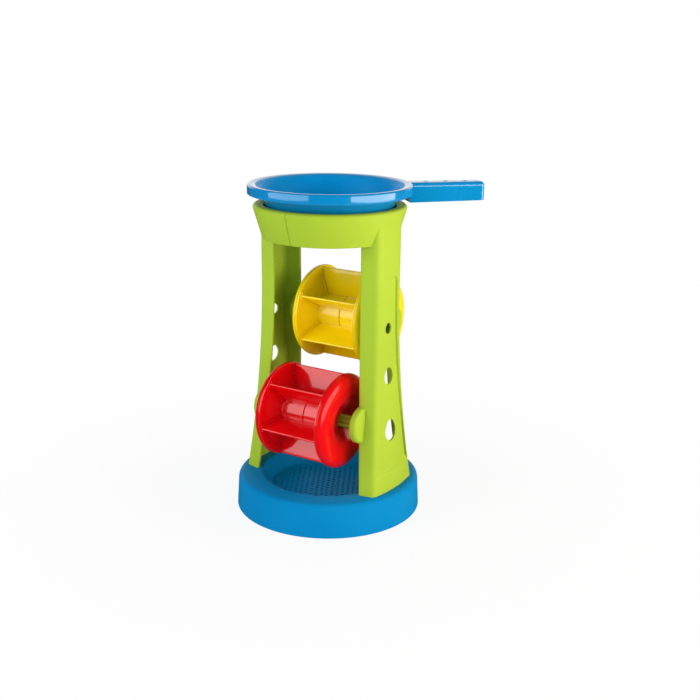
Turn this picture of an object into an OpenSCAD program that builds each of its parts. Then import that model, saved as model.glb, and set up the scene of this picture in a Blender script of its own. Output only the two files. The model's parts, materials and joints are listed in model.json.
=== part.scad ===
// Sand wheel toy: a sieve pan on a two-legged tower, two paddle wheels one below
// the other, and a round base with a sieve floor. Millimetres, +Z up, the origin at
// the centre of the plane that the base stands on. The wheels turn on axles along X,
// and -Y is the front.

/* [Base] */
// Radius of the base at the floor
base_r = 97.5; // [92:0.5:110]
// Height of the flat ring that the legs stand on
base_h = 35; // [30:1:45]
// How far the outer wall leans in on its way up
base_draft = 1.9; // [0.5:0.1:4]
// Wall of the base
base_wall = 2.8; // [2:0.1:4]
// Rounding of the base's shoulder
shoulder_r = 6.4; // [3:0.1:7]
// Radius of the bowl at its edge
bowl_r = 70; // [66:0.5:72]
// Rounding of the bowl's edge
bowl_edge_r = 3; // [1:0.5:5]
// Height of the underside of the sieve
sieve_z = 16; // [10:0.5:20]
// Radius of the sieve disc
sieve_r = 60; // [50:0.5:64]
// Thickness of the sieve disc
sieve_t = 2.4; // [1.6:0.1:4]
// Width of the ledge under the sieve disc
sieve_seat_w = 4.5; // [2:0.5:8]
// Diameter of a sieve hole
sieve_hole_d = 3.2; // [2:0.1:4]
// Distance between neighbouring sieve holes
sieve_pitch = 6.4; // [5.5:0.1:10]

/* [Legs] */
// Distance of the long edges of the legs' outer faces from the middle, at the waist
waist_x = 71.5; // [70:0.1:74]
// Height at which the outer face starts to sweep out towards the base
waist_z = 235; // [200:1:260]
// Radius of the sweep of the outer face
waist_sweep_r = 2470; // [2300:10:4000]
// Radius of the slight bulge across a leg's outer face
face_round_r = 260; // [150:5:600]
// Half the width of a leg where it is narrowest
leg_half_w = 22.3; // [18:0.1:24]
// Height at which a leg starts to widen towards the base
narrow_z = 245; // [200:1:260]
// Radius of the sweep of a leg's long edges
leg_sweep_r = 1575; // [1400:5:3000]
// Distance of the side walls' inner edges from the middle, where it is least
flange_x = 52.7; // [51:0.1:56]
// Radius of the sweep of those inner edges
flange_sweep_r = 2000; // [1800:10:4000]
// How far the side walls splay apart towards their inner edges
flange_splay = 3.1; // [0:0.1:5]
// Wall of the legs
leg_wall = 3; // [2:0.1:4]
// Reach of the rounding along a leg's long edges
leg_corner = 6; // [4:0.1:8]
// Heights of the three holes in a leg
leg_hole_z = [96, 156, 203]; // [60:1:240]
// Widths of the three holes in a leg
leg_hole_w = [20, 15, 11]; // [6:0.5:24]
// Heights of the openings of those holes
leg_hole_h = [22.5, 16, 11.4]; // [6:0.1:26]

/* [Collar] */
// Height of the collar's lower edge
collar_z = 289; // [275:1:300]
// Height of the collar from its lower edge to its lip
collar_h = 33.5; // [28:0.5:45]
// Outer radius of the collar at its lower edge
collar_low_r = 68.5; // [66:0.5:70]
// How far the collar flares out from its lower edge to its lip
collar_flare = 9.1; // [6:0.1:14]
// Width of the collar's rounded lip
lip_w = 5; // [3:0.1:6]
// Wall of the collar
collar_wall = 2.9; // [2:0.1:4]
// Inner radius of the ledge that carries the pan
ledge_r = 50; // [40:0.5:54]
// Thickness of that ledge
ledge_t = 2.6; // [2:0.1:5]

/* [Axles] */
// Height of the lower axle
lower_axle_z = 107; // [96:0.1:112]
// Height of the upper axle
upper_axle_z = 201.3; // [190:0.1:215]
// Distance of the axles from the middle, lower one to the front, upper one to the back
axle_y = 30; // [24:0.5:34]
// Radius of the ribbed part of an axle
axle_r = 7.75; // [6:0.05:9]
// Thickness of an axle's ribs
axle_rib_t = 3; // [2:0.1:5]
// Thickness of the round shoulder at each end of an axle
axle_shoulder_t = 2.5; // [1:0.1:6]
// Radius of the round ends that turn in the ears
journal_r = 5; // [3:0.1:6]
// Length of those round ends
journal_l = 4.4; // [3:0.1:6]
// Radius of the ears on the legs
ear_r = 18.8; // [14:0.1:22]
// Thickness of an ear
ear_t = 7.4; // [6:0.1:10]
// Rounding of an ear's outer edge
ear_edge_r = 3.4; // [1:0.1:5]

/* [Wheels] */
// Radius of a wheel
wheel_r = 49; // [44:0.5:52]
// Half the width of the buckets at the rim
bucket_half_w = 33.2; // [26:0.1:36]
// Wall of the wheel's discs
disc_wall = 2.4; // [1.6:0.1:4]
// Radius inside which a disc is dished inwards
dish_r = 39; // [30:0.5:42]
// Depth of that dish
dish_depth = 6.7; // [2:0.1:10]
// Radius of the hub
hub_r = 19.5; // [16:0.5:24]
// Wall of the hub
hub_wall = 2.4; // [1.6:0.1:4]
// Wall of the sleeve round the axle
sleeve_wall = 2.4; // [1.6:0.1:4]
// Length of that sleeve in each half of a wheel
sleeve_l = 16; // [8:0.5:22]
// Number of paddles on a wheel
paddle_count = 6; // [4:1:8]
// Thickness of a paddle
paddle_t = 2.5; // [1.6:0.1:4]
// How far a paddle's tip stays inside the rim
paddle_inset = 1.5; // [0.5:0.1:5]
// Thickness of the ribs that hold a paddle's free end
guide_t = 2.2; // [1:0.1:4]
// Height of those ribs
guide_h = 1.8; // [1:0.1:4]
// Width of an end cap's rounded ring from the rim to its crest
cap_round_w = 18; // [12:0.1:19]
// Height of that crest above the rim
cap_round_h = 7.8; // [5:0.1:9]
// Wall of the end caps
cap_wall = 2.2; // [1.4:0.1:3]
// Depth of an end cap's dished middle below the crest
cap_dish = 7.4; // [5:0.1:9]
// Angle of the first paddle of the lower wheel, from the back upwards
lower_phase = 12; // [0:1:60]
// Angle of the first paddle of the upper wheel
upper_phase = 30; // [0:1:60]
// How far the lower wheel has slid along its axle
lower_slide = 1; // [-4:0.5:4]
// How far the upper wheel has slid along its axle
upper_slide = 5; // [-5:0.5:5]

/* [Pan] */
// Outer radius of the pan's rim
pan_rim_r = 83; // [80:0.5:90]
// Height of the pan
pan_h = 50.5; // [46:0.5:60]
// Wall of the pan
pan_wall = 2.4; // [1.6:0.1:4]
// Lean of the pan's side, in degrees from upright
pan_lean = 20.4; // [12:0.1:22]
// Radius of the rolled edge of the pan
pan_roll_r = 13.4; // [10:0.1:16]
// Height of the band round the rim
pan_band_h = 10; // [6:0.5:14]
// Rounding of the rim's outer edge
pan_rim_round = 2.2; // [1:0.1:2.3]
// Diameter of a hole in the pan's floor
pan_hole_d = 5; // [3:0.1:6]
// Distance between the rings of holes in the pan's floor
pan_hole_pitch = 10; // [8:0.5:14]
// Direction of the handle, in degrees from +X towards +Y
handle_angle = 45; // [0:5:90]
// Reach of the handle from the middle of the pan
handle_reach = 160; // [130:1:200]
// Width of the handle
handle_w = 20; // [14:0.5:30]
// Height of the handle at the pan
handle_root_h = 18; // [14:0.5:18.5]
// Height of the handle at its tip
handle_tip_h = 17.2; // [12:0.1:18]
// Rounding of the handle's corners
handle_corner_r = 4.5; // [2:0.5:7]
// Diameter of the holes in the handle
handle_hole_d = 5; // [3:0.1:8]
// Distance of the first hole from the middle of the pan
handle_hole_first = 99; // [94:1:110]
// Distance between the holes
handle_hole_pitch = 21; // [12:1:24]

/* [Fits] */
// Clearance round a shaft that turns
running_fit = 0.08; // [0.02:0.01:0.1]
// Clearance between pieces that are pushed together
push_fit = 0.15; // [0.05:0.05:0.3]
// Clearance between the pan and its ledge
seat_fit = 0.3; // [0.2:0.05:0.6]
// Gap at each end of an axle's ribs
axle_end_fit = 0.5; // [0.3:0.1:1]

/* [Hidden] */
$fn = 96;
arc_steps = 8;
cap_steps = 16;
leg_rings = 22;
corner_steps = 5;
face_steps = 6;
cut_over = 1;
pan_hole_rings = 2;
ring_holes = 6;
handle_holes = 3;
hole_top_share = 0.78;
stagger_share = 0.5;
corner_min_share = 0.35;
tab_l = 9;
tab_depth = 7;
tab_hook = 1.2;
tab_hook_h = 2;
tab_root = 2;
axle_step = 0.4;
spigot_l = 6;
spigot_wall = 1.6;
parting_gap = 0.1;
leg_bury = 3;
cap_turn = 150;
pan_rim_flat = 0.5;
join_l = 9;
join_h = 12;
join_depth = 6;
peg_r = 1.8;
peg_l = 6;

foot_z = base_h;
collar_top_z = collar_z + collar_h;
ledge_top_z = collar_z + ledge_t;
collar_top_r = collar_low_r + collar_flare;
collar_slope = collar_flare / (collar_h - lip_w / 2);
leg_top_r = norm([waist_x, leg_half_w]);
leg_top_z = min(collar_z + (leg_top_r - collar_low_r) / collar_slope + leg_bury, collar_top_z - lip_w);
tip_r = wheel_r - paddle_inset;
hub_end = bucket_half_w - dish_depth;
rim_end = bucket_half_w + disc_wall;
pan_z = ledge_top_z + seat_fit;
pan_top_z = pan_z + pan_h;
sieve_edge_r = sieve_r - sieve_seat_w - sieve_hole_d;

blue = [0.01, 0.42, 0.72];
green = [0.62, 0.79, 0.17];
yellow = [0.96, 0.83, 0.02];
red = [0.85, 0.04, 0.08];

// Points on an arc, from angle a0 to a1
function arc(centre, r, a0, a1) =
  [for (i = [0:arc_steps]) let (a = a0 + (a1 - a0) * i / arc_steps) centre + r * [cos(a), sin(a)]];

// A point on a quadratic curve that rounds a corner
function rounded(p0, corner, p1, t) = (1 - t) * (1 - t) * p0 + 2 * t * (1 - t) * corner + t * t * p1;

// How far a long sweep has moved out at height z, below the height where it starts
function sweep(z, start_z, r) = pow(max(0, start_z - z), 2) / (2 * r);

function leg_edge_x(z) = waist_x + sweep(z, waist_z, waist_sweep_r);
function leg_half_width(z) = leg_half_w + sweep(z, narrow_z, leg_sweep_r);
function flange_edge_x(z) = flange_x + sweep(z, narrow_z, flange_sweep_r);

// Where a leg's outer face meets its side wall, and the inner edge of that wall
function leg_corner_at(z) = [leg_edge_x(z), leg_half_width(z)];
function leg_edge_at(z) = [flange_edge_x(z), leg_half_width(z) + flange_splay];

// Directions along a leg's side wall and square to it, towards the inside of the leg
function flange_along(z) =
  let (d = leg_edge_at(z) - leg_corner_at(z))
  d / norm(d);
function flange_normal(z) =
  let (d = flange_along(z))
  [-d[1], d[0]];

// Half of a leg's section at height z: side wall, rounded corner, half of the outer face
function leg_half_path(z, inset) =
  let (
    c = leg_corner_at(z),
    mid = [c[0] - sqrt(face_round_r * face_round_r - c[1] * c[1]), 0],
    nf = flange_normal(z),
    nr = (mid - c) / face_round_r,
    corner = c + inset * (nf + nr) / (1 + nf * nr),
    edge = leg_edge_at(z) + inset * nf,
    r = face_round_r - inset,
    reach = max(leg_corner - inset, leg_corner * corner_min_share),
    on_wall = corner + reach * flange_along(z),
    a = atan2(corner[1], corner[0] - mid[0]) - reach / r * 180 / PI,
    on_face = mid + r * [cos(a), sin(a)]
  )
  concat(
    [edge],
    [for (i = [0:corner_steps]) rounded(on_wall, corner, on_face, i / corner_steps)],
    [for (i = [1:face_steps]) let (b = a * (1 - i / face_steps)) mid + r * [cos(b), sin(b)]]
  );

function leg_path(z, inset) =
  let (h = leg_half_path(z, inset), n = len(h))
  concat(h, [for (i = [n - 2:-1:0]) [h[i][0], -h[i][1]]]);

// The wall between two open paths of equal length, lofted through all heights
module lofted_wall(outer, inner, heights) {
  n = len(outer[0]);
  m = 2 * n;
  last = len(heights) - 1;
  points = [
    for (j = [0:last]) for (i = [0:m - 1])
      let (p = i < n ? outer[j][i] : inner[j][m - 1 - i])
      [p[0], p[1], heights[j]]
  ];
  sides = [
    for (j = [0:last - 1]) for (i = [0:m - 1])
      let (a = j * m + i, b = j * m + (i + 1) % m)
      each [[a, b, b + m], [a, b + m, a + m]]
  ];
  ends = [
    for (i = [0:n - 2])
      let (t = last * m)
      each [
        [m - 1 - i, m - 2 - i, i + 1, i],
        [t + i, t + i + 1, t + m - 2 - i, t + m - 1 - i]
      ]
  ];
  polyhedron(points, concat(sides, ends));
}

// Turns a shape about Z into one about the axle: local x, y, z become Y, Z, X
module about_axle() {
  rotate([90, 0, 90]) children();
}

module lower_wheel_place() {
  translate([lower_slide, -axle_y, lower_axle_z]) about_axle() rotate(lower_phase) children();
}

module upper_wheel_place() {
  translate([upper_slide, axle_y, upper_axle_z]) about_axle() rotate(upper_phase) children();
}

// The tab under a side wall that plugs into the base, or its slot with a clearance
module leg_tab(clear) {
  d = flange_along(foot_z);
  t = leg_wall - 2 * push_fit;
  mid = (leg_corner_at(foot_z) + leg_edge_at(foot_z) + leg_wall * flange_normal(foot_z)) / 2;
  for (s = [-1, 1])
    translate([mid[0], s * mid[1], foot_z - tab_depth - clear])
      rotate(s * atan2(d[1], d[0]))
        translate([-tab_l / 2 - clear, -t / 2 - clear, 0])
          cube([tab_l + 2 * clear, t + 2 * clear, tab_depth + tab_root + clear]);
}

// The ridge on a tab that catches under the base
module leg_tab_hook() {
  d = flange_along(foot_z);
  mid = (leg_corner_at(foot_z) + leg_edge_at(foot_z) + leg_wall * flange_normal(foot_z)) / 2;
  top = foot_z - base_wall - push_fit;
  for (s = [-1, 1])
    translate([mid[0], s * mid[1], top - tab_hook_h])
      rotate(s * atan2(d[1], d[0]))
        translate([-tab_l / 2, -leg_wall / 2 - (s < 0 ? tab_hook : 0), 0])
          cube([tab_l, leg_wall + tab_hook, tab_hook_h]);
}

module base_profile() {
  wall_r = base_r - base_draft;
  edge = [bowl_r + bowl_edge_r, base_h - bowl_edge_r];
  shoulder = [wall_r - shoulder_r, base_h - shoulder_r];
  pocket_r = sieve_r + push_fit;
  pocket_z = sieve_z + sieve_t;
  polygon(concat(
    [[base_r, 0]],
    arc(shoulder, shoulder_r, 0, 90),
    arc(edge, bowl_edge_r, 90, 180),
    [
      [pocket_r, pocket_z],
      [pocket_r, sieve_z],
      [sieve_r - sieve_seat_w, sieve_z],
      [sieve_r - sieve_seat_w, sieve_z - base_wall],
      [pocket_r + base_wall, sieve_z - base_wall],
      [pocket_r + base_wall, pocket_z]
    ],
    arc(edge, bowl_edge_r - base_wall, 180, 90),
    arc(shoulder, shoulder_r - base_wall, 90, 0),
    [[base_r - base_wall, 0]]
  ));
}

module base() {
  color(blue) difference() {
    rotate_extrude() base_profile();
    leg_tab(push_fit);
    mirror([1, 0, 0]) leg_tab(push_fit);
  }
}

// The sieve disc in the base, with staggered holes
module base_sieve() {
  rows = ceil(sieve_r / sieve_pitch);
  row_h = sieve_pitch * sin(60);
  color(blue) translate([0, 0, sieve_z]) linear_extrude(sieve_t) difference() {
    circle(sieve_r);
    for (j = [-rows - 1:rows + 1]) for (i = [-rows:rows]) {
      p = [(i + (j % 2 == 0 ? 0 : stagger_share)) * sieve_pitch, j * row_h];
      if (norm(p) < sieve_edge_r) translate(p) circle(d = sieve_hole_d, $fn = 24);
    }
  }
}

// One egg-shaped hole through a leg's outer wall, narrower at the top
module leg_hole(z, w, h) {
  r = w / 2;
  top_r = r * hole_top_share;
  rise = h - r - top_r;
  a = asin((r - top_r) / rise);
  translate([waist_x - leg_wall - cut_over, 0, z - h / 2 + r]) about_axle()
    linear_extrude(leg_edge_x(foot_z) - waist_x + 2 * leg_wall + 2 * cut_over) {
      circle(r);
      translate([0, rise]) circle(top_r);
      if (rise > r - top_r) polygon([
        [r * cos(a), r * sin(a)], [top_r * cos(a), rise + top_r * sin(a)],
        [-top_r * cos(a), rise + top_r * sin(a)], [-r * cos(a), r * sin(a)]
      ]);
    }
}

module leg() {
  heights = [for (j = [0:leg_rings]) foot_z + (leg_top_z - foot_z) * j / leg_rings];
  outer = [for (z = heights) leg_path(z, 0)];
  inner = [for (z = heights) leg_path(z, leg_wall)];
  lofted_wall(outer, inner, heights);
}

// Where an ear starts: no further out than the tips of the side walls beside its axle
function ear_x(z) = leg_edge_at(z + axle_r)[0] + leg_wall * flange_normal(z + axle_r)[0];

// A round ear that holds one end of an axle, on the inner edge of a side wall
module ear(y, z) {
  translate([ear_x(z), y, z]) about_axle() rotate_extrude() polygon(concat(
    [[0, 0], [ear_r, 0]],
    arc([ear_r - ear_edge_r, ear_t - ear_edge_r], ear_edge_r, 0, 90),
    [[0, ear_t]]
  ));
}

module ear_socket(y, z) {
  translate([ear_x(z) - cut_over, y, z]) about_axle()
    cylinder(r = journal_r + running_fit, h = journal_l + axle_end_fit + cut_over);
}

// Inner radius of the collar at height z
function collar_inner_r(z) = collar_low_r - collar_wall + (z - collar_z) * collar_slope;

// The collar's section, with a rounded lip
module collar_profile() {
  lip = lip_w / 2;
  thick_z = collar_top_z - 2 * lip_w;
  polygon(concat(
    [[collar_inner_r(collar_z), collar_z], [collar_low_r, collar_z]],
    arc([collar_top_r - lip, collar_top_z - lip], lip, 0, 180),
    [[collar_inner_r(thick_z), thick_z]]
  ));
}

module half_turn() {
  rotate(-90) rotate_extrude(angle = 180) children();
}

// The room inside the collar, out to the middle of its wall, that the legs stay out of
module collar_room() {
  low_z = collar_z + ledge_t / 2;
  top_z = leg_top_z + cut_over;
  rotate_extrude() polygon([
    [0, low_z], [collar_inner_r(low_z) + collar_wall / 2, low_z],
    [collar_inner_r(top_z) + collar_wall / 2, top_z], [0, top_z]
  ]);
}

// The blocks inside the collar, front and back, where the two halves of the tower join
module join_blocks() {
  out_r = collar_inner_r(ledge_top_z) + collar_wall / 2;
  for (s = [0, 1]) mirror([0, s, 0])
    translate([parting_gap / 2, -out_r, collar_z])
      cube([join_l, join_depth + collar_wall / 2, ledge_t + join_h]);
}

// The pegs of the left half, or with a clearance their holes in the right half
module join_pegs(clear) {
  y = collar_inner_r(ledge_top_z) - join_depth / 2;
  for (s = [-1, 1])
    translate([-join_l / 2, s * y, ledge_top_z + join_h / 2])
      rotate([0, 90, 0]) cylinder(r = peg_r + clear, h = join_l / 2 + peg_l + clear);
}

// One half of the tower, on the +X side: a leg, half of the collar and two ears
module tower_half() {
  difference() {
    union() {
      difference() {
        leg();
        collar_room();
      }
      half_turn() collar_profile();
      half_turn() translate([ledge_r, collar_z]) square([collar_low_r - collar_wall / 2 - ledge_r, ledge_t]);
      ear(-axle_y, lower_axle_z);
      ear(axle_y, upper_axle_z);
      leg_tab(0);
      leg_tab_hook();
    }
    translate([-collar_top_r, -collar_top_r, collar_z - cut_over])
      cube([collar_top_r + parting_gap / 2, 2 * collar_top_r, collar_h + 2 * cut_over]);
    ear_socket(-axle_y, lower_axle_z);
    ear_socket(axle_y, upper_axle_z);
    for (i = [0:len(leg_hole_z) - 1]) leg_hole(leg_hole_z[i], leg_hole_w[i], leg_hole_h[i]);
  }
}

module tower_left() {
  color(green) {
    mirror([1, 0, 0]) tower_half();
    mirror([1, 0, 0]) join_blocks();
    join_pegs(0);
  }
}

module tower_right() {
  color(green) {
    tower_half();
    difference() {
      join_blocks();
      join_pegs(push_fit);
    }
  }
}

// The revolved part of half a wheel: hub, sleeve, end wall and disc
module drum_profile() {
  bore = axle_r + push_fit;
  polygon([
    [hub_r, parting_gap / 2], [hub_r, hub_end], [dish_r, bucket_half_w],
    [wheel_r, bucket_half_w], [wheel_r, rim_end], [dish_r, rim_end],
    [hub_r, hub_end + disc_wall], [bore, hub_end + disc_wall],
    [bore, hub_end + disc_wall - sleeve_l], [bore + sleeve_wall, hub_end + disc_wall - sleeve_l],
    [bore + sleeve_wall, hub_end], [hub_r - hub_wall, hub_end], [hub_r - hub_wall, parting_gap / 2]
  ]);
}

// The space that the paddles fill, from one disc to the other
module paddle_profile() {
  into = disc_wall / 2;
  root = hub_r - hub_wall / 2;
  free = hub_r + push_fit;
  polygon([
    [root, parting_gap / 2], [root, hub_end + into], [dish_r, bucket_half_w + into],
    [tip_r, bucket_half_w + into], [tip_r, push_fit - bucket_half_w],
    [dish_r, push_fit - bucket_half_w], [free, push_fit - hub_end], [free, parting_gap / 2]
  ]);
}

// The band on a disc that the guide ribs fill
module guide_profile() {
  into = disc_wall / 2;
  polygon([
    [hub_r, -hub_end - into], [dish_r, -bucket_half_w - into], [tip_r, -bucket_half_w - into],
    [tip_r, guide_h - bucket_half_w], [dish_r, guide_h - bucket_half_w], [hub_r, guide_h - hub_end]
  ]);
}

// A plate for each paddle, t thick and moved sideways by shift
module paddle_plates(t, shift) {
  for (k = [0:paddle_count - 1])
    rotate(k * 360 / paddle_count)
      translate([0, shift - t / 2, -rim_end])
        cube([wheel_r, t, 2 * rim_end]);
}

// The half that carries the paddles
module drum_right() {
  rotate_extrude() drum_profile();
  intersection() {
    rotate_extrude() paddle_profile();
    paddle_plates(paddle_t, 0);
  }
}

// The half that takes the paddles' free ends between ribs, with a spigot into the other hub
module drum_left() {
  spigot_r = hub_r - hub_wall - push_fit;
  shift = (paddle_t + guide_t) / 2 + push_fit;
  mirror([0, 0, 1]) rotate_extrude() drum_profile();
  intersection() {
    rotate_extrude() guide_profile();
    union() {
      paddle_plates(guide_t, shift);
      paddle_plates(guide_t, -shift);
    }
  }
  rotate_extrude() polygon([
    [spigot_r - spigot_wall, spigot_l], [spigot_r, spigot_l], [spigot_r, -parting_gap / 2],
    [hub_r - hub_wall / 2, -parting_gap / 2], [hub_r - hub_wall / 2, -spigot_l],
    [spigot_r - spigot_wall, -spigot_l]
  ]);
}

// Points on an end cap's oval ring, drawn in by inset
function cap_ring(inset, a0, a1) =
  [for (i = [0:cap_steps]) let (a = a0 + (a1 - a0) * i / cap_steps)
    [wheel_r - cap_round_w + (cap_round_w - inset) * cos(a), rim_end + (cap_round_h - inset) * sin(a)]];

// The end cap that closes a wheel's disc on the outside: a rounded ring and a dished middle
module end_cap() {
  bore = axle_r + push_fit;
  floor_z = rim_end + cap_round_h - cap_dish;
  outer = cap_ring(0, 0, cap_turn);
  inner = cap_ring(cap_wall, cap_turn, 0);
  foot = outer[cap_steps];
  slope = cap_round_h / cap_round_w / -tan(cap_turn);
  run = (foot[1] - floor_z) / slope;
  rotate_extrude() polygon(concat(
    outer,
    [[foot[0] - run, floor_z], [bore, floor_z], [bore, floor_z - cap_wall], [foot[0] - run, floor_z - cap_wall]],
    inner
  ));
}

module cap_left() {
  mirror([0, 0, 1]) end_cap();
}

// An axle with four ribs, round shoulders and round ends, reaching from ear to ear
module axle(z) {
  half_l = ear_x(z) - axle_end_fit;
  intersection() {
    cylinder(r = axle_r, h = 2 * half_l, center = true);
    union() {
      cube([2 * axle_r, axle_rib_t, 2 * half_l], center = true);
      cube([axle_rib_t, 2 * axle_r, 2 * half_l], center = true);
    }
  }
  for (s = [-1, 1])
    translate([0, 0, s * (half_l - axle_shoulder_t / 2)])
      cylinder(r = axle_r - axle_step, h = axle_shoulder_t, center = true);
  cylinder(r = journal_r, h = 2 * (half_l + journal_l), center = true);
}

module upper_drum_left() {
  color(yellow) upper_wheel_place() drum_left();
}

module upper_drum_right() {
  color(yellow) upper_wheel_place() drum_right();
}

module upper_cap_left() {
  color(yellow) upper_wheel_place() cap_left();
}

module upper_cap_right() {
  color(yellow) upper_wheel_place() end_cap();
}

module upper_axle() {
  color(green) translate([0, axle_y, upper_axle_z]) about_axle() rotate(upper_phase) axle(upper_axle_z);
}

module lower_drum_left() {
  color(red) lower_wheel_place() drum_left();
}

module lower_drum_right() {
  color(red) lower_wheel_place() drum_right();
}

module lower_cap_left() {
  color(red) lower_wheel_place() cap_left();
}

module lower_cap_right() {
  color(red) lower_wheel_place() end_cap();
}

module lower_axle() {
  color(green) translate([0, -axle_y, lower_axle_z]) about_axle() rotate(lower_phase) axle(lower_axle_z);
}

// The pan's section: floor, leaning side, rolled edge and the band that hangs from it
module pan_profile() {
  roll = [pan_rim_r - pan_wall - pan_rim_flat, pan_top_z - pan_roll_r];
  rim_round = min(pan_rim_round, pan_wall);
  rim = [pan_rim_r - rim_round, pan_top_z - rim_round];
  a = 180 - pan_lean;
  inside = roll + pan_roll_r * [cos(a), sin(a)];
  outside = roll + (pan_roll_r - pan_wall) * [cos(a), sin(a)];
  floor_z = pan_z + pan_wall;
  polygon(concat(
    [[0, pan_z], [0, floor_z], [inside[0] - (inside[1] - floor_z) * tan(pan_lean), floor_z]],
    arc(roll, pan_roll_r, a, 90),
    arc(rim, rim_round, 90, 0),
    [[pan_rim_r, pan_top_z - pan_band_h], [pan_rim_r - pan_wall, pan_top_z - pan_band_h]],
    [[pan_rim_r - pan_wall, pan_top_z - pan_wall]],
    arc(roll, pan_roll_r - pan_wall, 90, a),
    [[outside[0] - (outside[1] - pan_z) * tan(pan_lean), pan_z]]
  ));
}

// The handle's outline from above, drawn in by inset
module handle_outline(inset) {
  r = handle_corner_r - inset;
  half = handle_w / 2 - inset;
  tip = handle_reach - inset;
  root = pan_rim_r - pan_wall + inset;
  translate([root, -half]) square([tip - r - root, 2 * half]);
  translate([root, r - half]) square([tip - root, 2 * (half - r)]);
  for (s = [-1, 1]) translate([tip - r, s * (half - r)]) circle(r);
}

// The handle's outline from the side
module handle_side() {
  root = pan_rim_r - pan_wall;
  rotate([90, 0, 0]) linear_extrude(handle_w, center = true) polygon([
    [root, pan_top_z - handle_root_h], [handle_reach, pan_top_z - handle_tip_h],
    [handle_reach, pan_top_z], [root, pan_top_z]
  ]);
}

module handle() {
  low_z = pan_top_z - max(handle_root_h, handle_tip_h);
  difference() {
    intersection() {
      translate([0, 0, low_z]) linear_extrude(pan_top_z - low_z) handle_outline(0);
      handle_side();
    }
    translate([0, 0, low_z - cut_over])
      linear_extrude(pan_top_z - low_z + cut_over - pan_wall) handle_outline(pan_wall);
    for (i = [0:handle_holes - 1])
      translate([handle_hole_first + i * handle_hole_pitch, 0, pan_top_z - pan_wall - cut_over])
        cylinder(d = handle_hole_d, h = pan_wall + 2 * cut_over);
  }
}

module sieve_pan() {
  color(blue) rotate(handle_angle) {
    difference() {
      rotate_extrude() pan_profile();
      for (k = [0:pan_hole_rings]) for (i = [0:max(0, ring_holes * k - 1)])
        rotate(k == 0 ? 0 : i * 360 / (ring_holes * k))
          translate([k * pan_hole_pitch, 0, pan_z - cut_over])
            cylinder(d = pan_hole_d, h = pan_wall + 2 * cut_over);
    }
    handle();
  }
}

base();
base_sieve();
tower_left();
tower_right();
upper_drum_left();
upper_drum_right();
upper_cap_left();
upper_cap_right();
upper_axle();
lower_drum_left();
lower_drum_right();
lower_cap_left();
lower_cap_right();
lower_axle();
sieve_pan();
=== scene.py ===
# %% [markdown]
# # A sand wheel toy
# A sieve pan stands on a green tower. Sand runs from it over two paddle wheels into a
# round base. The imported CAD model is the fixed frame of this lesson: it holds every
# piece at its real size, and we dress it with smoother meshes and real finishes.

# %% Load the frame
import json
import math
import bmesh
import bpy
from mathutils import Matrix, Vector


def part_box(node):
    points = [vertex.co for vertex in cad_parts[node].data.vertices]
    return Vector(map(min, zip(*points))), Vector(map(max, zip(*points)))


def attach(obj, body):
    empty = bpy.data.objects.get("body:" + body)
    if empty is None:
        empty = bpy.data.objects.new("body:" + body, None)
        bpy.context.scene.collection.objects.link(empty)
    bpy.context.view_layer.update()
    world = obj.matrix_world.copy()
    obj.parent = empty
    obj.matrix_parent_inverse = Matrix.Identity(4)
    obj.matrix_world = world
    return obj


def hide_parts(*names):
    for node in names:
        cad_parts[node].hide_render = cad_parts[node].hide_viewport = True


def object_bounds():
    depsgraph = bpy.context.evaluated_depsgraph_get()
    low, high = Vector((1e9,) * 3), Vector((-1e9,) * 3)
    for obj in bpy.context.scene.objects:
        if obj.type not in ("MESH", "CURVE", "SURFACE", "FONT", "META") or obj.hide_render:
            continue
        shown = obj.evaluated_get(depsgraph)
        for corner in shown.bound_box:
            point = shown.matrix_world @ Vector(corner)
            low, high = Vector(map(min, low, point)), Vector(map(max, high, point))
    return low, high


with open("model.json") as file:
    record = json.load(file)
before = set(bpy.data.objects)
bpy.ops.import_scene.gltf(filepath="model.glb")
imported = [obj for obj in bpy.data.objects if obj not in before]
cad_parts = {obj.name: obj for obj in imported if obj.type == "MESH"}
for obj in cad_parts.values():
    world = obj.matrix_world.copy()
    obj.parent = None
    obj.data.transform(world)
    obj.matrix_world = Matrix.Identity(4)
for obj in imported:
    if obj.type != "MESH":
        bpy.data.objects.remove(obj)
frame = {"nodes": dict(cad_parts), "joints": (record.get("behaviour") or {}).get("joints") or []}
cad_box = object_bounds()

MM = 0.001
QUARTER = math.pi / 2
print("CAD box", [[round(v, 4) for v in corner] for corner in cad_box])

# %% [markdown]
# ## Camera
# The photograph was taken from the front right, a little above the toy. The place and
# the direction were solved from the ellipses of the rims. Setting the matrix from a
# direction and a small roll is more exact here than a Track To constraint.

# %% Camera
EYE = Vector((0.5953, -0.8994, 0.4877))
LOOK = Vector((-0.5121, 0.8108, -0.2836))
ROLL = 0.0125
LENS = 55.4
SENSOR_W = 36.0
SHIFT = -0.0017

camera = bpy.data.objects.new("camera", bpy.data.cameras.new("camera"))
bpy.context.scene.collection.objects.link(camera)
camera.data.lens = LENS
camera.data.sensor_width = SENSOR_W
camera.data.shift_x = SHIFT
turn = LOOK.to_track_quat("-Z", "Y").to_matrix().to_4x4()
camera.matrix_world = Matrix.Translation(EYE) @ turn @ Matrix.Rotation(ROLL, 4, "Z")
bpy.context.scene.camera = camera
bpy.context.scene.view_settings.view_transform = "Standard"
toy_middle = (Vector(cad_box[0]) + Vector(cad_box[1])) / 2
print("camera", round((EYE - toy_middle).length, 3), "m from the toy")

# %% [markdown]
# ## Room
# A product photograph is taken in a white room. The world is white where the camera sees
# it and dimmer where it lights the toy, so the plastics keep their depth. Polished plastic
# also mirrors the white backdrop behind the toy, so mirror rays get a level of their own
# that depends on their direction. Real white walls could do this too, but Light Path nodes
# let us set each kind of ray by itself.

# %% Node helpers
WHITE = (1, 1, 1, 1)


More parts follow.
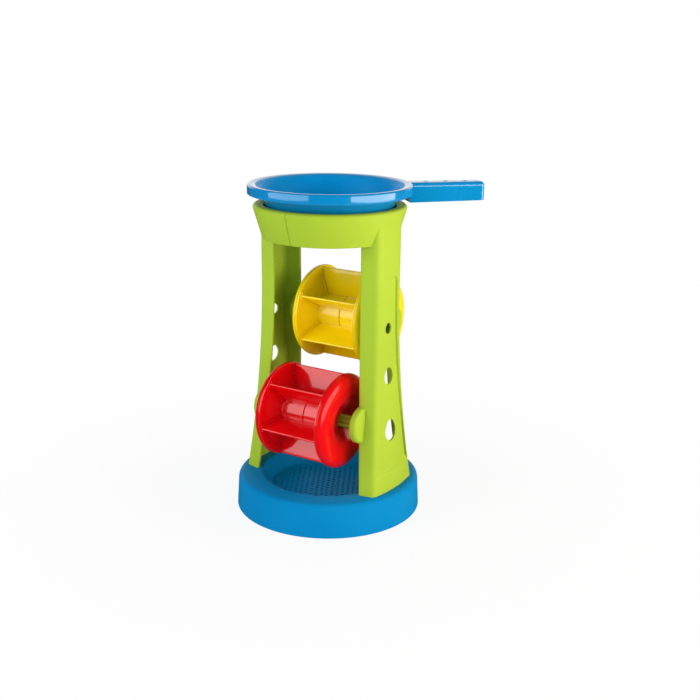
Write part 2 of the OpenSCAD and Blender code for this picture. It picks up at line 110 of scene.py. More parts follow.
def node(tree, kind, **inputs):
    """A new shader node with its input sockets set by name."""
    made = tree.nodes.new(kind)
    for name, value in inputs.items():
        made.inputs[name.replace("_", " ")].default_value = value
    return made


def math_node(tree, kind, operation):
    """A new math node that does one operation."""
    made = node(tree, kind)
    made.operation = operation
    return made


def wire(tree, source, output, target, socket):
    """Joins an output of one node to an input of another, each by its name or number."""
    tree.links.new(source.outputs[output], target.inputs[socket])


# %% World
ROOM = 0.36
ROOM_TINT = (0.8, 0.95, 1.0, 1)
ROOM_MIRRORED = 0.05
BACKDROP = 1.0
BACKDROP_WAY = (-0.55, 0.83, 0.0)
BACKDROP_EDGE, BACKDROP_FULL = 0.6, 0.9

world = bpy.data.worlds.new("studio")
bpy.context.scene.world = world
world.use_nodes = True
sky = world.node_tree
sky.nodes.clear()
rays = node(sky, "ShaderNodeLightPath")
way = node(sky, "ShaderNodeTexCoord")
behind = math_node(sky, "ShaderNodeVectorMath", "DOT_PRODUCT")
behind.inputs[1].default_value = BACKDROP_WAY
level = node(sky, "ShaderNodeMapRange", From_Min=BACKDROP_EDGE, From_Max=BACKDROP_FULL,
             To_Min=ROOM_MIRRORED, To_Max=BACKDROP)
fill = node(sky, "ShaderNodeBackground", Color=ROOM_TINT, Strength=ROOM)
mirror = node(sky, "ShaderNodeBackground", Color=WHITE)
white = node(sky, "ShaderNodeBackground", Color=WHITE, Strength=BACKDROP)
lit = node(sky, "ShaderNodeMixShader")
choose = node(sky, "ShaderNodeMixShader")
out = node(sky, "ShaderNodeOutputWorld")
wire(sky, way, "Generated", behind, 0)
wire(sky, behind, "Value", level, "Value")
wire(sky, level, 0, mirror, "Strength")
wire(sky, rays, "Is Glossy Ray", lit, 0)
wire(sky, fill, 0, lit, 1)
wire(sky, mirror, 0, lit, 2)
wire(sky, rays, "Is Camera Ray", choose, 0)
wire(sky, lit, 0, choose, 1)
wire(sky, white, 0, choose, 2)
wire(sky, choose, 0, out, 0)
print("room", ROOM, "backdrop", BACKDROP)

# %% [markdown]
# ## Floor
# The toy stands on white paper. Lit by a dim room, plain paper would turn grey, so the
# camera sees it nearly white and keeps a share of the real shading as the shadow. Under
# the base, where the sieve's holes look down on it, only the real shading is left. A
# shadow catcher could do this too, but its picture has to be laid over white afterwards.

# %% Floor
FLOOR_R = 6.0
FLOOR_SIDES = 96

bm = bmesh.new()
bmesh.ops.create_circle(bm, cap_ends=True, segments=FLOOR_SIDES, radius=FLOOR_R)
floor_mesh = bpy.data.meshes.new("floor")
bm.to_mesh(floor_mesh)
bm.free()
floor = bpy.data.objects.new("floor", floor_mesh)
bpy.context.scene.collection.objects.link(floor)
print("floor radius", FLOOR_R)

# %% White paper
PAPER_NEAR, PAPER_FAR = 0.12, 0.5
PAPER_GLOW_SHARE = 0.9
PAPER_SHADE = (0.9, 0.9, 0.9, 1)
PAPER_MIRRORED = (0.12, 0.12, 0.12, 1)
COVERED_SHARE = 0.93
COVERED_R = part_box("base")[1].x * COVERED_SHARE

paper = bpy.data.materials.new("white_paper")
paper.use_nodes = True
tree = paper.node_tree
tree.nodes.clear()
rays = node(tree, "ShaderNodeLightPath")
spot = node(tree, "ShaderNodeTexCoord")
away = math_node(tree, "ShaderNodeVectorMath", "LENGTH")
glow_share = node(tree, "ShaderNodeMapRange", From_Min=PAPER_NEAR, From_Max=PAPER_FAR,
                  To_Min=PAPER_GLOW_SHARE, To_Max=1.0)
share = math_node(tree, "ShaderNodeMath", "MULTIPLY")
uncovered = math_node(tree, "ShaderNodeMath", "GREATER_THAN")
uncovered.inputs[1].default_value = COVERED_R
seen = math_node(tree, "ShaderNodeMath", "MULTIPLY")
shaded = node(tree, "ShaderNodeBsdfDiffuse", Color=PAPER_SHADE)
dim = node(tree, "ShaderNodeBsdfDiffuse", Color=PAPER_MIRRORED)
glow = node(tree, "ShaderNodeEmission", Color=WHITE, Strength=1.0)
mirrored = node(tree, "ShaderNodeMixShader")
choose = node(tree, "ShaderNodeMixShader")
out = node(tree, "ShaderNodeOutputMaterial")
wire(tree, spot, "Object", away, 0)
wire(tree, away, "Value", glow_share, "Value")
wire(tree, away, "Value", uncovered, 0)
wire(tree, rays, "Is Camera Ray", share, 0)
wire(tree, glow_share, 0, share, 1)
wire(tree, share, 0, seen, 0)
wire(tree, uncovered, 0, seen, 1)
wire(tree, rays, "Is Glossy Ray", mirrored, 0)
wire(tree, shaded, 0, mirrored, 1)
wire(tree, dim, 0, mirrored, 2)
wire(tree, seen, 0, choose, 0)
wire(tree, mirrored, 0, choose, 1)
wire(tree, glow, 0, choose, 2)
wire(tree, choose, 0, out, 0)
floor_mesh.materials.append(paper)
print("paper covered by the base to", round(COVERED_R, 4))

# %% [markdown]
# ## Soft boxes
# Two large upright soft boxes light the toy, one at the front left and a warmer one at the
# right. Glossy plastic mirrors them as clear rectangles, so they are area lights of the
# right shape and not spot lights.


# %% Soft boxes
def soft_box(name, place, size, power, colour=(1, 1, 1)):
    """An upright rectangular area light at place, turned towards the toy's axis."""
    lamp = bpy.data.lights.new(name, "AREA")
    lamp.shape = "RECTANGLE"
    lamp.size, lamp.size_y = size
    lamp.energy = power
    lamp.color = colour
    box = bpy.data.objects.new(name, lamp)
    bpy.context.scene.collection.objects.link(box)
    box.location = place
    box.rotation_euler = Vector((-place[0], -place[1], 0)).to_track_quat("-Z", "Y").to_euler()
    print(name, "power", power)


soft_box("soft_box_left", place=(-0.66, -1.35, 0.86), size=(1.8, 1.6), power=22)
soft_box("soft_box_right", place=(1.49, 0.16, 0.45), size=(2.1, 0.9), power=33, colour=(1.0, 0.84, 0.74))

# %% [markdown]
# ## Finishes
# All pieces are moulded plastic, but not all look alike. The tower and the base are satin:
# a fine grain scatters the light. The drums and the pan's rim are polished and mirror the
# soft boxes. The caps, the pan's inside and its handle's sides are duller here, to match the
# photograph. One function makes them all: a colour that drifts a little, a roughness that
# does the same, and a grain as bump. Flat colours would be simpler, but look too even.
# The pan's inside is also painted a lighter blue than its outside, a painted light.
# The red caps are also painted a darker red than the drums, a painted shade.

# %% Screen colours
SCREEN_FULL = 255
SCREEN_OFFSET, SCREEN_SCALE, SCREEN_POWER = 0.055, 1.055, 2.4
SCREEN_DARK, SCREEN_DARK_SCALE = 10, 3295


def from_screen(*colour):
    """A colour as a screen shows it, from 0 to 255, in the linear values of a shader."""
    made = []
    for c in colour:
        if c > SCREEN_DARK:
            made.append(((c / SCREEN_FULL + SCREEN_OFFSET) / SCREEN_SCALE) ** SCREEN_POWER)
        else:
            made.append(c / SCREEN_DARK_SCALE)
    return made


print("half of a screen's white is", round(from_screen(SCREEN_FULL / 2)[0], 3), "in the shader")

# %% Plastic
PLASTIC_IOR = 1.49
COAT_ROUGH = 0.03
DRIFT_SCALE, DRIFT_DETAIL = 9.0, 3.0
DRIFT_LOW, DRIFT_HIGH = 0.3, 0.7
PALE_SHARE, PALE_LIFT, DEEP_SHARE = 1.05, 0.004, 0.94
GRAIN_DETAIL = 2.0
GRAIN_HEIGHT = 0.0004


def plastic(name, colour, rough, rough_drift, grain, grain_depth,
            coat=0.0, shine=0.5, shine_tint=(1, 1, 1)):
    """Moulded plastic with a drifting colour, a drifting roughness and a fine grain."""
    made = bpy.data.materials.new(name)
    made.use_nodes = True
    tree = made.node_tree
    shader = tree.nodes["Principled BSDF"]
    shader.inputs["IOR"].default_value = PLASTIC_IOR
    shader.inputs["Coat Weight"].default_value = coat
    shader.inputs["Coat Roughness"].default_value = COAT_ROUGH
    shader.inputs["Specular IOR Level"].default_value = shine
    shader.inputs["Specular Tint"].default_value = (*shine_tint, 1)
    where = node(tree, "ShaderNodeTexCoord")
    drift = node(tree, "ShaderNodeTexNoise", Scale=DRIFT_SCALE, Detail=DRIFT_DETAIL)
    tint = node(tree, "ShaderNodeValToRGB")
    deep, pale = tint.color_ramp.elements
    deep.position, pale.position = DRIFT_LOW, DRIFT_HIGH
    deep.color = (*[c * DEEP_SHARE for c in colour], 1)
    pale.color = (*[min(1.0, c * PALE_SHARE + PALE_LIFT) for c in colour], 1)
    polish = node(tree, "ShaderNodeMapRange", From_Min=DRIFT_LOW, From_Max=DRIFT_HIGH,
                  To_Min=rough - rough_drift, To_Max=rough + rough_drift)
    fine = node(tree, "ShaderNodeTexNoise", Scale=grain, Detail=GRAIN_DETAIL)
    bump = node(tree, "ShaderNodeBump", Strength=grain_depth, Distance=GRAIN_HEIGHT)
    wire(tree, where, "Object", drift, "Vector")
    wire(tree, where, "Object", fine, "Vector")
    wire(tree, drift, 0, tint, "Fac")
    wire(tree, drift, 0, polish, "Value")
    wire(tree, fine, 0, bump, "Height")
    wire(tree, tint, 0, shader, "Base Color")
    wire(tree, polish, 0, shader, "Roughness")
    wire(tree, bump, 0, shader, "Normal")
    print("finish", name, [round(c, 3) for c in colour])
    return made


# %% Finishes
SATIN = {"rough": 0.42, "rough_drift": 0.05}
POLISHED = {"rough_drift": 0.03, "grain": 500, "grain_depth": 0.02}

BLUE_BASE = plastic("satin_blue", from_screen(0, 129, 188), **SATIN, grain=1400, grain_depth=0.10,
                    shine=0.04, shine_tint=(0.0, 0.5, 1.0))
BLUE_PAN = plastic("polished_blue", from_screen(0, 132, 194), rough=0.14, **POLISHED,
                   coat=0.9, shine=0.4, shine_tint=(0.4, 0.8, 1.0))
# The pan's inside is a lighter blue than its outside: painted light, on top of its duller finish.
BLUE_INSIDE_PAINTED_LIGHT = plastic("matt_blue_painted_light", from_screen(0, 148, 216), rough=0.4, rough_drift=0.05,
                      grain=1200, grain_depth=0.06, shine=0.3, shine_tint=(0.1, 0.6, 1.0))
GREEN_TOWER = plastic("satin_green", from_screen(161, 191, 50), **SATIN, grain=1500, grain_depth=0.12,
                      shine=0.2, shine_tint=(0.8, 1.0, 0.5))
GREEN_AXLE = plastic("axle_green", from_screen(150, 178, 44), rough=0.36, rough_drift=0.05,
                     grain=1500, grain_depth=0.10)
YELLOW_WHEEL = plastic("polished_yellow", from_screen(250, 214, 0), rough=0.16, **POLISHED, coat=0.4)
RED_WHEEL = plastic("polished_red", from_screen(232, 4, 14), rough=0.14, **POLISHED, coat=0.6)
YELLOW_CAP = plastic("cap_yellow", from_screen(250, 214, 0), rough=0.2, **POLISHED, shine=0.3)
# The red caps are a darker red than the drums' same plastic: painted shade, on top of their duller finish.
RED_CAP_PAINTED_SHADE = plastic("cap_red_painted_shade", from_screen(216, 4, 14), rough=0.14, **POLISHED, coat=0.08, shine=0.2)

# %% [markdown]
# ## Shapes that turn
# Most of this toy is turned: caps, drums, pan, base. A turned piece is one closed outline
# spun round an axis. Blender's Screw modifier could spin it, but writing the rings
# ourselves lets the same function turn a shape about an upright axis or about an axle.

# %% Outlines with round corners
ROUND_STEPS = 6


def rounded(corners, steps=ROUND_STEPS):
    """The points of a closed outline given as corners (x, y, radius), with round corners."""
    points = []
    for i, (x, y, radius) in enumerate(corners):
        here = Vector((x, y))
        if radius <= 0:
            points.append(here)
            continue
        back = (Vector(corners[i - 1][:2]) - here).normalized()
        ahead = (Vector(corners[(i + 1) % len(corners)][:2]) - here).normalized()
        half = back.angle(ahead) / 2
        centre = here + (back + ahead).normalized() * radius / math.sin(half)
        start = here + back * radius / math.tan(half) - centre
        end = here + ahead * radius / math.tan(half) - centre
        first = math.atan2(start.y, start.x)
        sweep = (math.atan2(end.y, end.x) - first + math.pi) % math.tau - math.pi
        for k in range(steps + 1):
            a = first + sweep * k / steps
            points.append(centre + radius * Vector((math.cos(a), math.sin(a))))
    return points


# %% Turned and lofted shapes
TURN_STEPS = 128


def upright(r, h, a):
    """A point of a turned shape that stands on the floor."""
    return Vector((r * math.cos(a), r * math.sin(a), h))


def between(a, b, n):
    """The faces between two closed loops of n points, which start at points a and b."""
    return [(a + i, a + (i + 1) % n, b + (i + 1) % n, b + i) for i in range(n)]


def lathe(outline, place=upright, steps=TURN_STEPS):
    """Vertices and faces of a closed outline spun once round an axis."""
    n = len(outline)
    verts = [place(p[0], p[1], math.tau * k / steps) for k in range(steps) for p in outline]
    faces = []
    for k in range(steps):
        faces += between(k * n, (k + 1) % steps * n, n)
    return verts, faces


def loft(loops):
    """Vertices and faces of one skin through closed loops of equal length, closed at both ends."""
    n = len(loops[0])
    verts = [p for loop in loops for p in loop]
    faces = []
    for k in range(len(loops) - 1):
        faces += between(k * n, (k + 1) * n, n)
    faces += [tuple(range(n)), tuple(range(len(verts) - n, len(verts)))]
    return verts, faces


# %% [markdown]
# ## Solid pieces
# Each piece is one closed mesh, as a moulded part is one piece of plastic. Boolean modifiers
# join and cut the closed shapes, with the exact solver because the walls are thin. At the
# end a piece is smooth except at its sharp edges, and stands in for its CAD node.

# %% Closed solids
SAME_POINT = 1e-6
SAME_EDGE = 1e-7


def solid(name, shape):
    """An object of a closed shape, with its normals facing out and equal points joined."""
    mesh = bpy.data.meshes.new(name)
    mesh.from_pydata([tuple(v) for v in shape[0]], [], shape[1])
    bm = bmesh.new()
    bm.from_mesh(mesh)
    bmesh.ops.remove_doubles(bm, verts=bm.verts, dist=SAME_POINT)
    bmesh.ops.dissolve_degenerate(bm, dist=SAME_EDGE, edges=bm.edges)
    bmesh.ops.recalc_face_normals(bm, faces=bm.faces)
    bm.to_mesh(mesh)
    bm.free()
    made = bpy.data.objects.new(name, mesh)
    bpy.context.scene.collection.objects.link(made)
    return made


# %% Joining and cutting
def combine(target, tools, operation):
    """Joins tools to target, or cuts them out of it, and keeps the result as target's mesh."""
    for tool in tools:
        step = target.modifiers.new(tool.name, "BOOLEAN")
        step.object = tool
        step.operation = operation
        step.solver = "EXACT"
    bpy.context.view_layer.update()
    ready = target.evaluated_get(bpy.context.evaluated_depsgraph_get())
    mesh = bpy.data.meshes.new_from_object(ready)
    target.modifiers.clear()
    target.data = mesh
    for tool in tools:
        bpy.data.objects.remove(tool)
    return target


# %% Finished pieces
SHARP = math.radians(32)


def finish_piece(piece, material, body, stands_for, slot):
    """Shades a piece, gives it its material and body, and lets it stand for its CAD node."""
    mesh = piece.data
    mesh.materials.clear()
    mesh.materials.append(material)
    mesh.shade_smooth()
    mesh.set_sharp_from_angle(angle=SHARP)
    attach(piece, body)
    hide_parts(stands_for)
    print(piece.name, len(mesh.polygons), "faces")


print("edges past", round(math.degrees(SHARP)), "degrees stay sharp")

# %% [markdown]
# ## Base
# The base is one thin shell: a leaning outer wall, a fat round shoulder, and a bowl in the
# middle that catches the sand. Its section is drawn once with a radius at each corner, so
# the shoulder and the foot of the bowl catch the light as moulded ones do. A Bevel modifier
# could round them too, but here each edge has its own width.

# %% Base shell
base_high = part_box("base")[1]
sieve_low, sieve_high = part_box("base_sieve")
BASE_R = base_high.x
BASE_H = base_high.z
BASE_WALL = 2.8 * MM
BASE_DRAFT = 1.9 * MM
SHOULDER_R = 6.4 * MM
BOWL_R = 70 * MM
BOWL_EDGE_R = 3 * MM
BOWL_FOOT_R = 4 * MM
BOWL_FOOT_SHARE = 0.6
SIEVE_SEAT_W = 4.5 * MM
SIEVE_FIT = 0.15 * MM
SIEVE_R = sieve_high.x
EDGE_R = 0.6 * MM
FINE_TURN_STEPS = 192


def base_section():
    """The section of the base, from its foot over the shoulder into the bowl and back below."""
    pocket = SIEVE_R + SIEVE_FIT
    foot = pocket + BOWL_FOOT_R * BOWL_FOOT_SHARE
    top = BASE_R - BASE_DRAFT
    seat = SIEVE_R - SIEVE_SEAT_W
    under = sieve_low.z - BASE_WALL
    return rounded([
        (BASE_R, 0, EDGE_R),
        (top, BASE_H, SHOULDER_R),
        (BOWL_R, BASE_H, BOWL_EDGE_R),
        (foot, sieve_high.z, BOWL_FOOT_R),
        (pocket, sieve_high.z, EDGE_R / 2),
        (pocket, sieve_low.z, 0),
        (seat, sieve_low.z, 0),
        (seat, under, EDGE_R),
        (pocket + BASE_WALL, under, BASE_WALL / 2),
        (pocket + BASE_WALL, sieve_high.z, BASE_WALL / 2),
        (BOWL_R + BASE_WALL, BASE_H - BASE_WALL, EDGE_R),
        (top - BASE_WALL, BASE_H - BASE_WALL, SHOULDER_R - BASE_WALL),
        (BASE_R - BASE_WALL, 0, EDGE_R),
    ])


base_piece = solid("base_shell", lathe(base_section(), steps=FINE_TURN_STEPS))
finish_piece(base_piece, BLUE_BASE, "tower", "base", "base_blue")

# %% [markdown]
# ## Sieve
# The floor of the bowl is a disc with many small holes. The CAD disc already has each hole
# at its real size, so it keeps its own mesh and only gets the finish. Cutting them all again
# would cost time and change nothing that is seen.

# %% Sieve
sieve = frame["nodes"]["base_sieve"]
sieve.data.materials.clear()
sieve.data.materials.append(BLUE_BASE)
print("sieve radius", round(SIEVE_R, 4))

# %% [markdown]
# ## Wheels
# A wheel is two drum halves, two end caps and an axle. The drums and caps are turned about
# the axle, which lies along X. The upper wheel is yellow and the lower one red. They differ
# only in place, turn and finish, so one set of functions makes both.

# %% Wheel sizes
HUB_R = 19.5 * MM
HUB_WALL = 2.4 * MM
HUB_END = 26.5 * MM
SLEEVE_WALL = 2.4 * MM
SLEEVE_L = 16 * MM
WHEEL_R = 49 * MM
BUCKET_HALF_W = 33.2 * MM
DISC_WALL = 2.4 * MM
DISH_R = 39 * MM
PUSH_FIT = 0.15 * MM
SEAM = 0.7 * MM
AXLE_R = 7.75 * MM
RIM_END = BUCKET_HALF_W + DISC_WALL


def about_axle(wheel, side=1):
    """A placing function for shapes turned about a wheel's axle; side -1 mirrors along it."""
    def place(r, x, a):
        return Vector((wheel["x"] + side * x, wheel["y"] + r * math.cos(a), wheel["z"] + r * math.sin(a)))
    return place


print("wheel radius", WHEEL_R, "width", round(2 * RIM_END, 4))

# %% [markdown]
# ## Drums
# Each drum half is a hub, a dished end wall and a flat disc, all in one moulding. The two
# halves meet at the middle of the hub, and a narrow seam with soft edges shows there as a
# dark line. A painted line would look the same from afar, but a real gap catches the light.

# %% Drum section
SEAM_EDGE_R, SEAM_INNER_R = 0.5 * MM, 0.25 * MM
HUB_FOOT_R = 1.2 * MM
DISH_INSIDE_R, DISH_OUTSIDE_R = 2.5 * MM, 2 * MM
DISC_EDGE_R = 0.9 * MM
SLEEVE_EDGE_R = 0.3 * MM
DRUM_ROUND_STEPS = 4


def drum_section():
    """The section of one drum half: hub, sleeve, dished end wall and disc."""
    bore = AXLE_R + PUSH_FIT
    lip = HUB_END + DISC_WALL
    return rounded([
        (HUB_R, SEAM / 2, SEAM_EDGE_R),
        (HUB_R, HUB_END, HUB_FOOT_R),
        (DISH_R, BUCKET_HALF_W, DISH_INSIDE_R),
        (WHEEL_R, BUCKET_HALF_W, DISC_EDGE_R),
        (WHEEL_R, RIM_END, DISC_EDGE_R),
        (DISH_R, RIM_END, DISH_OUTSIDE_R),
        (HUB_R, lip, DISH_OUTSIDE_R),
        (bore, lip, SLEEVE_EDGE_R),
        (bore, lip - SLEEVE_L, 0),
        (bore + SLEEVE_WALL, lip - SLEEVE_L, 0),
        (bore + SLEEVE_WALL, HUB_END, 0),
        (HUB_R - HUB_WALL, HUB_END, 0),
        (HUB_R - HUB_WALL, SEAM / 2, SEAM_INNER_R),
    ], steps=DRUM_ROUND_STEPS)


def disc_inside(r):
    """How far the inside of a disc lies from the wheel's middle, at radius r."""
    rise = (min(max(r, HUB_R), DISH_R) - HUB_R) / (DISH_R - HUB_R)
    return HUB_END + rise * (BUCKET_HALF_W - HUB_END)


print("drum section", len(drum_section()), "points")

# %% [markdown]
# ## Paddles
# Six thin paddles make the buckets. They belong to the right half, and pairs of low ribs on
# the left half guide their free ends. A paddle's ends follow the dished walls, so it is
# built from radii and not cut from a box.

# %% Radial plates
TIP_STEPS = 4


def plate(place, angle, shift, thick, radii, low, high):
    """A radial plate with a round tip, between the heights low(r) and high(r) along the axle."""
    half = thick / 2
    rows = [(r, half) for r in radii]
    rows += [(radii[-1] + half * math.sin(b), half * math.cos(b)) for b in
             [QUARTER * k / TIP_STEPS for k in range(1, TIP_STEPS)]]
    ends = rows + [(radii[-1] + half, 0)] + [(r, -t) for r, t in reversed(rows)]
    n = len(ends)
    verts = []
    for level in (low, high):
        for r, t in ends:
            s = t + shift
            verts.append(place(math.hypot(r, s), level(r), angle + math.atan2(s, r)))
    faces = between(0, n, n)
    for first in (0, n):
        pairs = [(first + i, first + n - 1 - i) for i in range(len(rows))]
        faces += [(a, c, d, b) for (a, b), (c, d) in zip(pairs, pairs[1:])]
        tip = first + len(rows)
        faces.append((tip - 1, tip, tip + 1))
    return verts, faces


# %% Drum halves
PADDLES = 6
PADDLE_T = 2.5 * MM
PADDLE_TIP_R = 47.5 * MM
PADDLE_FOOT_L = 3 * MM
PADDLE_MID_R = 30 * MM
PADDLE_RADII = [HUB_R - HUB_WALL / 2, HUB_R + PADDLE_FOOT_L, PADDLE_MID_R, DISH_R,
                PADDLE_TIP_R - PADDLE_T / 2]
GUIDE_T = 2.2 * MM
GUIDE_H = 1.8 * MM


def paddle_plates(wheel, name, thick, shift, low, high, radii):
    """The same plate for each paddle of a wheel."""
    place = about_axle(wheel)
    made = []
    for k in range(PADDLES):
        angle = wheel["phase"] + math.tau * k / PADDLES
        made.append(solid(f"{name}_{k}", plate(place, angle, shift, thick, radii, low, high)))
    return made


def drum_right(wheel):
    """The drum half that carries the paddles."""
    half = solid(wheel["name"] + "_drum_right_shell", lathe(drum_section(), about_axle(wheel)))
    paddles = paddle_plates(
        wheel, wheel["name"] + "_paddle", PADDLE_T, 0,
        lambda r: PUSH_FIT - disc_inside(r),
        lambda r: disc_inside(r) + DISC_WALL / 2,
        [HUB_R + PUSH_FIT / 2] + PADDLE_RADII[1:],
    )
    return combine(half, paddles, "UNION")


def drum_left(wheel):
    """The drum half with the guide ribs for the paddles' free ends."""
    half = solid(wheel["name"] + "_drum_left_shell", lathe(drum_section(), about_axle(wheel, -1)))
    shift = (PADDLE_T + GUIDE_T) / 2 + PUSH_FIT
    ribs = []
    for side in (-1, 1):
        ribs += paddle_plates(
            wheel, f"{wheel['name']}_rib_{side + 1}", GUIDE_T, side * shift,
            lambda r: -disc_inside(r) - DISC_WALL / 2,
            lambda r: GUIDE_H - disc_inside(r),
            PADDLE_RADII,
        )
    return combine(half, ribs, "UNION")


print(PADDLES, "paddles out to", PADDLE_TIP_R)

# %% [markdown]
# ## End caps
# A cap closes each end of a wheel. Its rim rounds over quickly to a crest, and from there a
# long slope runs down into a dish round the axle. Two quarter ovals of different width give
# this in one line, where a torus would be round all over.

# %% End caps
CAP_ROUND_W = 10 * MM
CAP_SLOPE_W = 22 * MM
CAP_ROUND_H = 6.8 * MM
CAP_DISH = 7.4 * MM
CAP_WALL = 2.2 * MM
CAP_FOOT_R = 2.4 * MM
CAP_BORE_EDGE_R = 0.4 * MM
CAP_TURN = math.radians(150)
CAP_STEPS = 22
CAP_ROUND_STEPS = 5
CAP_TURN_STEPS = 144


def cap_ring(inset):
    """Points on the oval ring of a cap, from its rim over the crest into the dish."""
    centre = Vector((WHEEL_R - CAP_ROUND_W, RIM_END))
    points = []
    for k in range(CAP_STEPS + 1):
        a = CAP_TURN * k / CAP_STEPS
        width = CAP_ROUND_W if math.cos(a) > 0 else CAP_SLOPE_W
        points.append(centre + Vector(((width - inset) * math.cos(a), (CAP_ROUND_H - inset) * math.sin(a))))
    return points


def cap_section():
    """The section of an end cap: an oval ring at the rim and a dished middle."""
    bore = AXLE_R + PUSH_FIT
    floor_x = RIM_END + CAP_ROUND_H - CAP_DISH
    outer, inner = cap_ring(0), cap_ring(CAP_WALL)
    last = outer[-1]
    slope = CAP_ROUND_H / CAP_SLOPE_W / -math.tan(CAP_TURN)
    foot = last.x - (last.y - floor_x) / slope
    dish = rounded([
        (last.x, last.y, 0), (foot, floor_x, CAP_FOOT_R), (bore, floor_x, CAP_BORE_EDGE_R),
        (bore, floor_x - CAP_WALL, 0), (foot, floor_x - CAP_WALL, 0), (inner[-1].x, inner[-1].y, 0),
    ], steps=CAP_ROUND_STEPS)
    return outer + dish[1:-1] + inner[::-1]


def end_cap(wheel, side):
    """An end cap, right for side 1 and left for side -1."""
    word = "right" if side > 0 else "left"
    shape = lathe(cap_section(), about_axle(wheel, side), steps=CAP_TURN_STEPS)
    return solid(f"{wheel['name']}_cap_{word}_shell", shape)


print("cap section", len(cap_section()), "points")

# %% [markdown]
# ## Axles
# An axle is a round core with four ribs, which grip the drums so that wheel and axle turn
# as one. Its plain round ends sit in the ears of the tower. An extruded curve could make the
# ribs, but with a loft and a lathe at hand we loft the ribbed stretch and turn the ends.

# %% Axle outline
AXLE_RIBS = 4
AXLE_RIB_T = 3 * MM
AXLE_CORE_R = 5 * MM
AXLE_RIB_ROUND = 0.7 * MM
AXLE_ROUND_STEPS = 3
CORE_STEPS = 6


def axle_outline():
    """The cross section of an axle: a round core with four ribs."""
    half = AXLE_RIB_T / 2
    root = math.sqrt(AXLE_CORE_R ** 2 - half ** 2)
    rib = rounded([(root, -half, 0), (AXLE_R, -half, AXLE_RIB_ROUND), (AXLE_R, half, AXLE_RIB_ROUND),
                   (root, half, 0)], steps=AXLE_ROUND_STEPS)
    points = []
    for k in range(AXLE_RIBS):
        spin = Matrix.Rotation(QUARTER * k, 2)
        points += [spin @ p for p in rib]
        first = QUARTER * k + math.asin(half / AXLE_CORE_R)
        last = QUARTER * (k + 1) - math.asin(half / AXLE_CORE_R)
        for j in range(1, CORE_STEPS):
            a = first + (last - first) * j / CORE_STEPS
            points.append(AXLE_CORE_R * Vector((math.cos(a), math.sin(a))))
    return points


print("axle outline", len(axle_outline()), "points")

# %% Axle
AXLE_END_L = 4.4 * MM
AXLE_END_EDGE_R = 0.6 * MM
AXLE_SHOULDER_T = 2.5 * MM
AXLE_SHOULDER_STEP = 0.4 * MM
AXLE_SHOULDER_R = AXLE_R - AXLE_SHOULDER_STEP
AXLE_SHOULDER_EDGE_R = 0.3 * MM
AXLE_SHOULDER_GAP = 0.05 * MM
AXLE_TURN_STEPS = 48


def axle(wheel):
    """The ribbed axle from ear to ear, with its round shoulders and ends."""
    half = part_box(wheel["name"] + "_axle")[1].x - AXLE_END_L
    outline = [Matrix.Rotation(wheel["phase"], 2) @ p for p in axle_outline()]
    loops = [[Vector((x, wheel["y"] + p.x, wheel["z"] + p.y)) for p in outline] for x in (-half, half)]
    ribs = solid(wheel["name"] + "_axle_ribs", loft(loops))
    section = rounded([
        (0, half - AXLE_SHOULDER_T, 0),
        (AXLE_SHOULDER_R, half - AXLE_SHOULDER_T, AXLE_SHOULDER_EDGE_R),
        (AXLE_SHOULDER_R, half - AXLE_SHOULDER_GAP, AXLE_SHOULDER_EDGE_R),
        (AXLE_CORE_R, half - AXLE_SHOULDER_GAP, 0),
        (AXLE_CORE_R, half + AXLE_END_L, AXLE_END_EDGE_R),
        (0, half + AXLE_END_L, 0),
    ], steps=AXLE_ROUND_STEPS)
    ends = []
    for side in (-1, 1):
        shape = lathe(section, about_axle({**wheel, "x": 0}, side), steps=AXLE_TURN_STEPS)
        ends.append(solid(f"{wheel['name']}_axle_end_{side + 1}", shape))
    return combine(ribs, ends, "UNION")


print("axle ends", AXLE_END_L, "long")


# %% Both wheels
def wheel_facts(name, phase_deg):
    """Where a wheel is, from the frame: its axle from the joint, its middle from its caps."""
    joint = next(j for j in frame["joints"] if j["name"] == name + "_wheel_spin")
    left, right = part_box(name + "_cap_left"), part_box(name + "_cap_right")
    middle = (left[0].x + right[1].x) / 2
    return {"name": name, "x": middle, "y": joint["pos_m"][1], "z": joint["pos_m"][2],
            "phase": math.radians(phase_deg)}


WHEELS = [
    ("upper", 30, YELLOW_WHEEL, YELLOW_CAP, "wheel_yellow"),
    ("lower", 12, RED_WHEEL, RED_CAP_PAINTED_SHADE, "wheel_red"),
]
for name, phase, material, cap_material, slot in WHEELS:
    wheel = wheel_facts(name, phase)
    body = name + "_wheel"
    finish_piece(drum_right(wheel), material, body, name + "_drum_right", slot)
    finish_piece(drum_left(wheel), material, body, name + "_drum_left", slot)
    finish_piece(end_cap(wheel, 1), cap_material, body, name + "_cap_right", slot)
    finish_piece(end_cap(wheel, -1), cap_material, body, name + "_cap_left", slot)
    finish_piece(axle(wheel), GREEN_AXLE, body, name + "_axle", "axle_green")

# %% [markdown]
# ## Legs
# The tower is two mirrored halves. A leg is a channel whose section changes with height:
# it sweeps out and widens towards the base, and a shallow panel is sunk into its outer
# face. A Subdivision Surface could round a rough cage, but here the section is known
# exactly at each height, so we loft it.

# %% Leg sizes
WAIST_X, WAIST_Z, WAIST_SWEEP_R = 71.5 * MM, 235 * MM, 2250 * MM
LEG_HALF_W, NARROW_Z, LEG_SWEEP_R = 22.3 * MM, 245 * MM, 1420 * MM
FLANGE_X, FLANGE_SWEEP_R = 52.7 * MM, 2000 * MM
FLANGE_SPLAY = 3.1 * MM
FACE_ROUND_R = 170 * MM
LEG_WALL = 3 * MM
LEG_CORNER = 4.4 * MM


def sweep_out(z, start, radius):
    """How far a long sweep has moved out at height z, below the height where it starts."""
    return max(0.0, start - z) ** 2 / (2 * radius)


print("leg width at the base", round(2 * (LEG_HALF_W + sweep_out(BASE_H, NARROW_Z, LEG_SWEEP_R)), 4))

